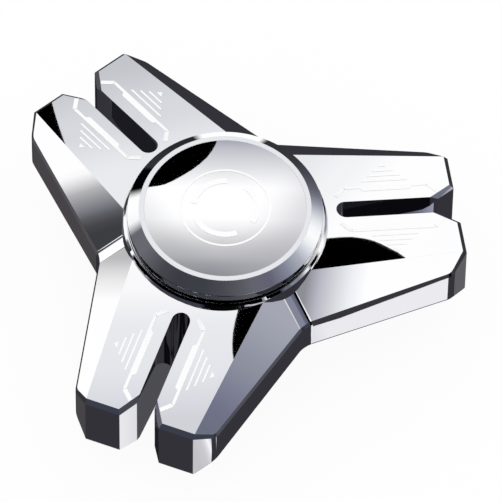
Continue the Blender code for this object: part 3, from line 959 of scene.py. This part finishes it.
@dataclass
class StudioCamera:
    """A long lens looking down on the spinner."""

    roll: float = 0.89
    distance: float = 0.978
    side: float = 3.06 * MM
    lift: float = 0.28 * MM
    lens: float = 601.2
    sensor: float = 36.0
    clip_start: float = 0.01

    def build(self, middle: float) -> Piece:
        """Place the camera and make it the scene's.

        Args:
            middle: Height of the body's middle plane.

        Returns:
            The camera.
        """
        a = math.radians(VIEW_AZIMUTH)
        e = math.radians(VIEW_ELEVATION)
        back = Vector((math.sin(a) * math.cos(e), -math.cos(a) * math.cos(e), math.sin(e)))
        right = Vector((math.cos(a), math.sin(a), 0))
        up = back.cross(right)
        r = math.radians(self.roll)
        across = right * math.cos(r) + up * math.sin(r)
        above = up * math.cos(r) - right * math.sin(r)
        data = bpy.data.cameras.new("camera")
        data.lens = self.lens
        data.sensor_width = self.sensor
        data.clip_start = self.clip_start
        camera = bpy.data.objects.new("camera", data)
        bpy.context.collection.objects.link(camera)
        turn = Matrix((across, above, back)).transposed()
        where = Vector((0, 0, middle)) + back * self.distance + right * self.side + up * self.lift
        camera.matrix_world = Matrix.Translation(where) @ turn.to_4x4()
        bpy.context.scene.camera = camera
        bpy.context.scene.view_settings.view_transform = "Standard"
        return camera


@dataclass(frozen=True)
class SkyPatch:
    """A round, soft-edged patch of the studio's surroundings, with its angles in degrees."""

    azimuth: float
    elevation: float
    inner: float
    outer: float
    tone: str


@dataclass(frozen=True)
class RingSky:
    """A narrow ring of the surroundings that one turned chamfer shows.

    All in degrees: the chamfer's lean, the half widths where its fade starts and ends, and each stop's place.
    """

    tilt: float
    band: Flat
    tones: str


@dataclass(frozen=True)
class Card:
    """A card hung where one polished face shows it.

    The outline is where its picture falls on that face. The tone changes from the run's first point to its
    second, and stays the same along the line from the first to the third, where there is one. Lengths are
    in millimetres. A direct card hangs at its outline itself.
    """

    name: str
    outline: str
    run: str
    tones: str
    reach: float = 200
    domed: bool = False
    direct: bool = False


SKY = tuple(SkyPatch(*row) for row in (
    (0, -90, 84, 97, "333238"), (-12, 2, 22, 30, "2c2b2e"), (180, 45, 58, 76, "45454f"),
    (180, -12, 30, 38, "060608"), (-130, -10, 20, 26, "060608"), (138, -6, 14, 20, "060608"),
    (146, -15, 3, 7, "35353a"), (123, -17, 4, 8, "3a3d4a"), (180, 14, 20, 23, "060608"), (-147, 20, 7, 11, "3a3d4a"),
    (147, 20, 4, 8, "3a3d4a"), (-102, 15, 8, 11, "060608"), (180, 69, 20, 24, "050506"),
    (-132, 66, 14, 17, "050506"), (132, 66, 14, 17, "050506"), (-105, 59, 12, 15, "050506"),
    (98, 60, 12, 15, "050506"), (-80, 5, 8, 14, "62626e"), (-57, 14, 15, 17.5, "ffffff"), (60, 9, 8, 18, "8c8c9c"),
    (78, 19, 13, 24, "ffffff"), (102, 29, 4, 12, "8a8a9b"), (112, 25, 3, 8, "818596"), (121, 27, 4, 8, "626475"),
    (136, 29, 2, 6, "f2f2f6"), (0, 62, 25, 34, "f4f4f6"), (0, -57, 14, 20, "1c1c22"), (40, -57, 5, 8, "4b4b50"),
    (-54, -57, 5, 8, "464346"), (180, -57, 13, 19, "08080a"), (163, -57, 9, 13, "0c0c10"), (1, -19, 7, 10, "ffffff"),
    (93, -24, 8, 16, "4e4e56"), (-84, -26, 8, 16, "504f52"),
))

RINGS = (
    RingSky(55.0, (5.0, 6.5),
        "-180 d0d0d8 0, -86 d0d0d8 0, -76 d0d0d8 0.9, -66 d0d0d8 0.9, -58 d0d0d8 0, 171 d0d0d8 0"),
    RingSky(45.0, (1.3, 2.2),
        "-180 000000 0, -163 000000 0, -158 000000, -56 000000, -53 000000 0, -34 000000 0, -31 000000, "
        "-24 000000, -20 000000 0, 171 000000 0"),
    RingSky(39.7, (2.4, 4.6),
        "-180 ffffff, -171 f8f8fa, -163 66676e, -150 686971, -132 47484e, -120 3c3d44, -102 3d4046, -90 4b4a53, "
        "-78 5a5b62, -72 646470, -60 636274, -48 828697, -36 abb0ba, -30 cdd2dc, -24 eef0f2, -18 fefefd, "
        "-12 f6f8f9, -6 e3e4e7, 0 c1c4ce, 6 9699a5, 12 727582, 18 5d5e69, 30 464750, 42 36363b, 65 302f33, "
        "69 ffffff, 106 ffffff, 111 25272b, 146 323136, 149 020207, 165 020203, 171 ffffff"),
)

PLAIN_BLACK = "0 000000, 1 000000"

DISC_ROUND = ", ".join(f"{11 * math.cos(math.tau * i / 48)} {11 * math.sin(math.tau * i / 48)} 19.3" for i in range(48))

CARDS = (
    Card("disc ceiling", DISC_ROUND, "1.68 9.72 19.3, -1.68 -9.72 19.3",
        "0 a4a6b2, 0.03 aaacb8, 0.08 c0c1c9, 0.135 cfd0d4, 0.19 dbdcdf, 0.245 e8e9eb, 0.3 f5f5f6, 0.35 ffffff, "
        "0.57 ffffff, 0.62 f5f5f6, 0.675 e5e5e6, 0.73 d4d4d6, 0.785 c5c5c8, 0.84 b7b8bb, 0.89 a2a2a7, 0.96 8f9096, "
        "1 88898f", reach=230, domed=True),
    Card("disc right veil", DISC_ROUND, "2.29 -1.41 19.3, 7.12 -5.79 19.3", "0 b0b0b6 0, 1 b0b0b6 0.5", reach=215,
        domed=True),
    Card("disc lower left veil", DISC_ROUND, "-2.33 -4.67 19.3, -6.29 -7.03 19.3", "0 8f9096 0, 1 8f9096 0.25",
        reach=212, domed=True),
    Card("disc flag",
        "-9.26 3.88 19.3, -8.39 4.24 19.3, -7.22 4.2 19.3, -6.39 4.29 19.3, -5.28 4.68 19.3, -4.14 5.21 19.3, "
        "-2.99 5.8 19.3, -1.94 6.49 19.3, -1 7.26 19.3, -0.29 8.07 19.3, 0.18 8.77 19.3, 0.52 9.43 19.3, "
        "0.96 10.78 19.3, -2.84 12.07 19.3, -7.35 9.5 19.3, -9.46 6.44 19.3", "-8 4 19.3, 0 8.5 19.3", PLAIN_BLACK,
        domed=True),
    Card("arm 1 flag",
        "9.57 -3.96 16.22, 11.36 -3.8 15.98, 12.9 -3.74 15.78, 14.31 -3.79 15.59, 15.9 -4.15 15.39, "
        "16.78 -4.52 15.27, 17.64 -5.04 15.16, 18.47 -5.68 15.05, 19.31 -6.3 14.94, 20.01 -7.04 14.85, "
        "20.48 -7.77 14.79, 14.36 -9.17 15.59, 8.67 -9.48 16.33, 7.68 -6.91 16.46", "14 -4.5 15.6, 16 -5.5 15.35",
        PLAIN_BLACK),
    Card("arm 3 flag",
        "-0.29 -11.84 16.11, -0.97 -13.52 15.87, -1.41 -14.86 15.69, -1.68 -16.09 15.53, -1.83 -17.22 15.4, "
        "-1.85 -18.24 15.28, -1.83 -19.78 15.1, 1.54 -17.58 15.58, 4.57 -11.7 16.44, 2.73 -10.07 16.51, "
        "0.34 -10.41 16.31", "-0.8 -14.5 15.76, -1.3 -17 15.45", PLAIN_BLACK),
    Card("arm 2 flag",
        "-17.25 21.37 13.92, -17.15 19.64 14.12, -16.97 17.59 14.36, -16.71 15.29 14.64, -16.57 14.26 14.77, "
        "-17.83 14.53 14.65, -20.1 19.34 13.96, -18.97 22.2 13.71, -17.6 22.68 13.74",
        "-17.6 20 14.05, -17.2 18.6 14.2", PLAIN_BLACK),
    Card("arm 2 ceiling",
        "-20.75 23.05 13.49, -15.71 25.08 13.6, -7.99 28.9 13.67, -4.64 27.4 14.06, 4.07 14.63 16.08, "
        "3.24 9.41 16.61, -9.97 0.04 16.81, -13.05 2.97 16.28, -17.34 13.81 14.77, -20.61 19.91 13.86",
        "-8.49 25.56 14.01, -11.03 8.63 15.77, -13.33 25.04 13.76", "0 c4c6cb, 0.5 d7d9dd, 1 eaecef", reach=230),
    Card("arm 1 ceiling",
        "8.68 10.19 16.33, 29.27 8.86 13.64, 28.23 -7.32 13.77, 26.9 -8.21 13.95, 7.17 -10.07 16.53, 6.21 -5.13 16.66",
        "9.99 7.27 16.16, 15.16 -0.83 15.48, 7.89 5.28 16.44", "0 e7e9ec, 0.5 f4f5f6, 1 ffffff", reach=230),
    Card("arm 3 ceiling",
        "-12.44 -0.82 16.56, 4.6 -7.82 16.88, 5.14 -11.8 16.47, -6.84 -28.81 13.75, -9.56 -27.68 13.7, "
        "-21.21 -20.47 13.76, -20.93 -18.61 13.99", "-11.58 -7.46 15.86, -11.33 -24.18 13.98, -2.04 -9.2 16.29",
        "0 fafafb, 0.08 f5f5f6, 0.27 eaebee, 0.62 e5e6ea, 0.85 dbdce2, 1 d2d3d8", reach=230),
    Card("arm 2 outer bank flag",
        "-19.74 21.81 14.04, -16.88 16.96 15.27, -10.33 1.56 16.72, -12.2 -3.02 13.47, -15.51 -1.45 10.78, "
        "-21.31 19.32 11.74", "-17.67 11.74 12.86, -15.4 3.13 12.33, -13.15 10.16 16.71",
        "0 ffffff, 0.1 fafafa, 0.19 e6e6e8, 0.36 b3b3b5, 0.5 97979b, 0.64 7b7c83, 0.76 5c5c62, 0.87 48484c, 1 3c3e42"),
    Card("arm 3 outer bank flag",
        "-18.44 6.91 6.23, -9.04 -1.56 17.96, -10.08 -8.42 19.12, -18.32 -24.54 16.27, -23.46 -19.68 9.79",
        "-13.67 -1.02 13.34, -14.62 -7.46 14.45, -11.61 -3.06 15.96",
        "0 bbbbbb, 0.1 c4c4c5, 0.29 d8d8d9, 0.52 e9e9e9, 0.76 f4f4f4, 1 ffffff"),
    Card("arm 1 bank flag", "4.17 -6.78 18.58, 29.14 -5.33 14.81, 28.59 -9.15 11.14, 4.91 -13.55 11.72",
        "8 -9.35 15.23, 15.05 -9.43 13.69, 7.53 -10.62 14.08",
        "0 8f8f97, 0.23 b9bac4, 0.48 d5d7db, 0.73 eeeff3, 1 ffffff"),
    Card("arm 3 bank flag",
        "2.66 -10.44 17.1, 9.62 -9.78 12.3, 8.54 -12.94 10.98, -5.57 -28.17 11.32, -9.02 -27.98 14.06",
        "4.23 -12.49 14.54, -6.39 -25.96 13.44", "0 a5a8b3, 0.45 8c909e, 0.8 72748a, 1 6b7080"),
    Card("arm 1 wall card",
        "6 -13.13 11.3, 11.65 -11.84 11.02, 16.53 -10.73 11.37, 21.42 -9.61 11.65, 25.68 -8.64 11.98, "
        "24.8 -8.84 6.79, 24 -9.02 3, 6.4 -13.04 3", "21.46 -9.6 10.29, 7 -12.9 10",
        "0 ebebef, 0.8 eaeaee, 0.95 dcdce2, 1 3a3a40", reach=60),
    Card("arm 1 corner card", "25.51 -8.84 14.2, 27.57 -6.44 14.2, 27.57 -6.44 5, 25.51 -8.84 5",
        "26.54 -7.64 9.65, 26.54 -7.64 12", "0 5e5e61, 1 5e5e61", reach=60),
    Card("arm 3 corner card", "-8.32 -27.14 14.71, -8.3 -27.14 5, -4 -26.06 4, -4.09 -26.08 14",
        "-7.6 -26.96 9.65, -5.18 -26.34 9.65", "0 c2c2c6, 0.45 cacace, 0.62 dcdce0, 0.76 fafafa, 0.9 dcdce0, 1 505056"),
    Card("arm 3 mouth card", "-15.67 -23.02 4, -12.64 -21.46 4, -12.64 -21.46 13.4, -15.67 -23.02 13.4",
        "-15.67 -23.02 9, -12.64 -21.46 9", "0 e9e9ed, 1 dedee2", direct=True),
    Card("slot glow", "25 12 -20, 36 12 -20, 36 23 -20, 25 23 -20", "26 17 -20, 30 17 -20", "0 5a5a6c, 1 a2a2b8",
        direct=True),
)


@dataclass
class Studio:
    """Plain pale floor, soft surroundings and the cards that shape the reflections in the plating."""

    camera: Piece
    skin: Piece
    dome_bend: float
    open_sky: str = "dcdce0"
    floor_size: float = 6.0
    floor_drop: float = 0.02 * MM
    floor_white: float = 0.98
    floor_rough: float = 0.9
    floor_glow: float = 0.93

    def build_world(self) -> None:
        """Paint the surroundings that the plating shows; lamps' work is done by an even white."""
        world = bpy.data.worlds.new("studio surroundings")
        bpy.context.scene.world = world
        world.use_nodes = True
        world.cycles.sampling_method = "NONE"
        wiring = Wiring(world.node_tree)
        way = wiring.node("TexCoord").outputs["Generated"]
        sky = (*shown_as(self.open_sky), 1.0)
        for patch in SKY:
            off = wiring.maths("ARCCOSINE", wiring.dot(way, direction(patch.azimuth, patch.elevation)))
            share = wiring.fade(off, math.radians(patch.inner), math.radians(patch.outer), "SMOOTHSTEP")
            sky = wiring.blend(share, sky, (*shown_as(patch.tone), 1.0))
        for ring in RINGS:
            sky = self.ring_sky(wiring, way, sky, ring)
        mirrored = wiring.node("LightPath").outputs["Is Glossy Ray"]
        shown = wiring.blend(mirrored, (1.0, 1.0, 1.0, 1.0), sky)
        wiring.feed(world.node_tree.nodes["Background"].inputs["Color"], shown)

    @staticmethod
    def ring_sky(wiring: Wiring, way: Socket, below: Socket, ring: RingSky) -> Socket:
        """Lay a ring over the surroundings, tone by tone round the axis.

        Args:
            wiring: The world's nodes.
            way: Direction looked at.
            below: Colour of the surroundings so far.
            ring: The ring.

        Returns:
            The colour with the ring laid over it.
        """
        maths = wiring.maths
        lean = wiring.node("VectorMath", {0: way, 1: direction(0, -VIEW_ELEVATION)}, operation="SUBTRACT").outputs[0]
        normal = wiring.node("VectorMath", {0: lean}, operation="NORMALIZE").outputs[0]
        right, back, up = (wiring.dot(normal, axis) for axis in (direction(90, 0), direction(0, 0), -DOWN))
        round_way = maths("MULTIPLY_ADD", maths("ARCTAN2", back, right), 1 / math.tau, 0.5)
        tones = tuple(((angle + 180) / 360, tone, cover) for angle, tone, cover in stops(ring.tones))
        ramp = wiring.ramp(round_way, tones)
        off = maths("ABSOLUTE", maths("SUBTRACT", maths("ARCCOSINE", up), math.radians(ring.tilt)))
        band = wiring.fade(off, *(math.radians(edge) for edge in ring.band))
        return wiring.blend(maths("MULTIPLY", band, ramp.outputs["Alpha"]), below, ramp.outputs["Color"])

    def build_floor(self) -> None:
        """Lay the pale floor that the lower cap stands on."""
        clear_selection()
        bpy.ops.mesh.primitive_plane_add(size=self.floor_size, location=(0, 0, -self.floor_drop))
        floor = bpy.context.object
        floor.name = "floor"
        wiring = MaterialWiring("floor")
        white = (self.floor_white, self.floor_white, self.floor_white, 1.0)
        wiring.set(Base_Color=white, Roughness=self.floor_rough, Specular_IOR_Level=0.0)
        glow = wiring.node("Emission")
        share = wiring.maths("MULTIPLY", wiring.node("LightPath").outputs["Is Camera Ray"], self.floor_glow)
        wiring.show(share, wiring.shader.outputs[0], glow.outputs[0])
        dress(floor, wiring.material)
        floor.visible_glossy = False

    def face_normal(self, card: Card, point: Vector) -> Vector:
        """Which way the polished face looks at a point.

        Args:
            card: The card that the face shows.
            point: The point.

        Returns:
            The unit normal.
        """
        if card.domed:
            return Vector((point.x * self.dome_bend, point.y * self.dome_bend, 1)).normalized()
        eye = self.camera.matrix_world.translation
        return self.skin.ray_cast(eye, (points(card.run)[0] - eye).normalized())[2]

    def hang(self, card: Card) -> None:
        """Hang a card where the camera sees it in the polished face.

        Args:
            card: The card.
        """
        eye = self.camera.matrix_world.translation
        run, outline = points(card.run), points(card.outline)
        hits = spots = [*run, run[0]][:3] + outline
        if not card.direct:
            lines = [(spot - eye).normalized().reflect(self.face_normal(card, spot)) for spot in spots]
            facing = sum(lines[3:], Vector()).normalized()
            middle = sum(outline, Vector()) / len(outline) + facing * card.reach * MM
            hits = [spot + line * ((middle - spot).dot(facing) / line.dot(facing)) for spot, line in zip(spots, lines)]
        mesh = bpy.data.meshes.new(card.name)
        mesh.from_pydata(hits[3:], [], [list(range(len(outline)))])
        board = bpy.data.objects.new(card.name, mesh)
        bpy.context.collection.objects.link(board)
        dress(board, self.card_finish(card, hits[:3]))
        for ray in ("camera", "diffuse", "shadow", "transmission"):
            setattr(board, f"visible_{ray}", False)

    @staticmethod
    def card_finish(card: Card, run: list[Vector]) -> Material:
        """The graded tone of a card.

        Args:
            card: The card.
            run: The three points of its run, where they lie on the card.

        Returns:
            The card's material.
        """
        start, end, beside = run
        wiring = MaterialWiring(card.name)
        wiring.material.cycles.emission_sampling = "NONE"
        level = (beside - start).normalized()
        way = end - start
        way -= level * way.dot(level)
        way /= way.length_squared
        along = wiring.dot(wiring.node("TexCoord").outputs["Object"], way)
        share = wiring.maths("SUBTRACT", along, start.dot(way))
        tones = stops(card.tones)
        ramp = wiring.ramp(share, tones, "LINEAR" if len(tones) > 3 else "EASE").outputs
        glow = wiring.node("Emission", {"Color": ramp["Color"]})
        wiring.show(ramp["Alpha"], wiring.node("BsdfTransparent").outputs[0], glow.outputs[0])
        return wiring.material

    def build(self) -> None:
        """Make the surroundings, the floor and the cards."""
        self.build_world()
        self.build_floor()
        for card in CARDS:
            self.hang(card)
        LOG.info("studio ready: %d cards", len(CARDS))


def main() -> None:
    """Build the spinner's looks and the studio round it."""
    logging.basicConfig(level=logging.INFO, format="%(name)s: %(message)s")
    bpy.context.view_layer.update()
    low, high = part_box("body")
    middle = (low.z + high.z) / 2
    shop = FinishShop()
    skin = BodySkin(shop, middle).build()
    caps = [FingerCap(shop, middle, face) for face in Face]
    for cap in caps:
        DiscMotif(shop, middle, cap.face).build(cap.build())
    EtchedMarks(shop, middle).build(skin)
    shop.dress_bearing()
    Studio(StudioCamera().build(middle), skin, caps[0].dome_bend).build()


if __name__ == "__main__":
    main()
